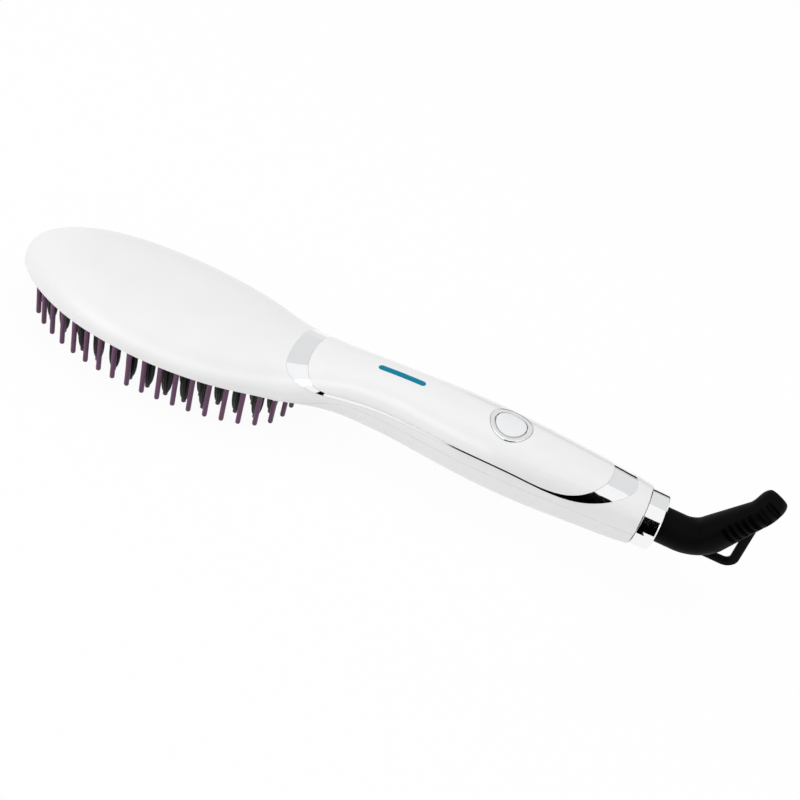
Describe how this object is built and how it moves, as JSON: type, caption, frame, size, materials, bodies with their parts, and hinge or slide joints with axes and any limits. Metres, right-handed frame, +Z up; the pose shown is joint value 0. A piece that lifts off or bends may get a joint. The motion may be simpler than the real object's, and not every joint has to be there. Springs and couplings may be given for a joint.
{
  "type": "hair straightening brush",
  "caption": "Corded heated brush with an oval head of pins and studs, a chrome-trimmed handle, a power button, an indicator light and a swivelling cord boot.",
  "frame": {"origin": "centre of the bounding box at the height of the pin tips, on which the brush stands", "axes": "+X from the tip of the head to the cord end, +Z up from the pin tips to the back of the head, +Y to the far side of the picture"},
  "size_m": [0.3238, 0.0652, 0.0654],
  "materials": {
    "white_shell": "satin white moulded plastic",
    "white_panel": "glossy white moulded plastic",
    "white_button": "pale grey satin plastic",
    "chrome": "bright plated",
    "teal_lens": "translucent teal",
    "black_plastic": "matte black",
    "plum_nylon": "satin plum nylon",
    "heater_metal": "dark ceramic coating",
    "steel": "zinc plated",
    "ceramic": "fired ceramic",
    "mica": "pressed mica",
    "epoxy": "moulded epoxy",
    "board": "green solder mask",
    "led": "clear blue lens",
    "clear_plastic": "frosted clear",
    "capacitor_case": "yellow case",
    "lead_sleeve": "woven glass sleeve",
    "brass": "polished",
    "rubber": "matte black"
  },
  "bodies": {
    "brush": {"upper_housing": "white_shell", "lower_housing": "white_shell", "chrome_trim": "chrome", "handle_panel": "white_panel", "button_bezel": "chrome", "indicator_lens": "teal_lens", "bristle_frame": "black_plastic", "outer_pins": "plum_nylon", "finned_studs": "black_plastic", "stud_tips": "plum_nylon", "heater_plate": "heater_metal", "carrier_plate": "black_plastic", "head_screws": "steel", "ceramic_heaters": "ceramic", "mica_sheet": "mica", "heater_clamp": "steel", "clamp_screws": "steel", "thermal_fuse": "steel", "thermistor": "epoxy", "control_board": "board", "board_screws": "steel", "tact_switch": "black_plastic", "indicator_leds": "led", "light_pipe": "clear_plastic", "x_capacitor": "capacitor_case", "triac": "epoxy", "controller_chip": "epoxy", "board_fuse": "ceramic", "heater_leads": "lead_sleeve", "supply_leads": "lead_sleeve", "handle_screws": "steel", "end_ring": "chrome", "swivel_socket": "black_plastic", "socket_cap": "black_plastic", "contact_springs": "brass"},
    "button": {"power_button": "white_button", "switch_plunger": "black_plastic"},
    "cord_end": {"swivel_core": "black_plastic", "slip_rings": "brass", "strain_relief": "rubber"}
  },
  "joints": [
    {"name": "button_press", "type": "slide", "parent": "brush", "child": "button", "axis": [0, 0, -1], "range_m": [0, 0.0008], "stiffness_N_per_m": 400, "springref_m": -0.0005},
    {"name": "cord_swivel", "type": "hinge", "parent": "brush", "child": "cord_end", "pos_m": [0.11, 0, 0.0289], "axis": [1, 0, 0], "continuous": true}
  ]
}
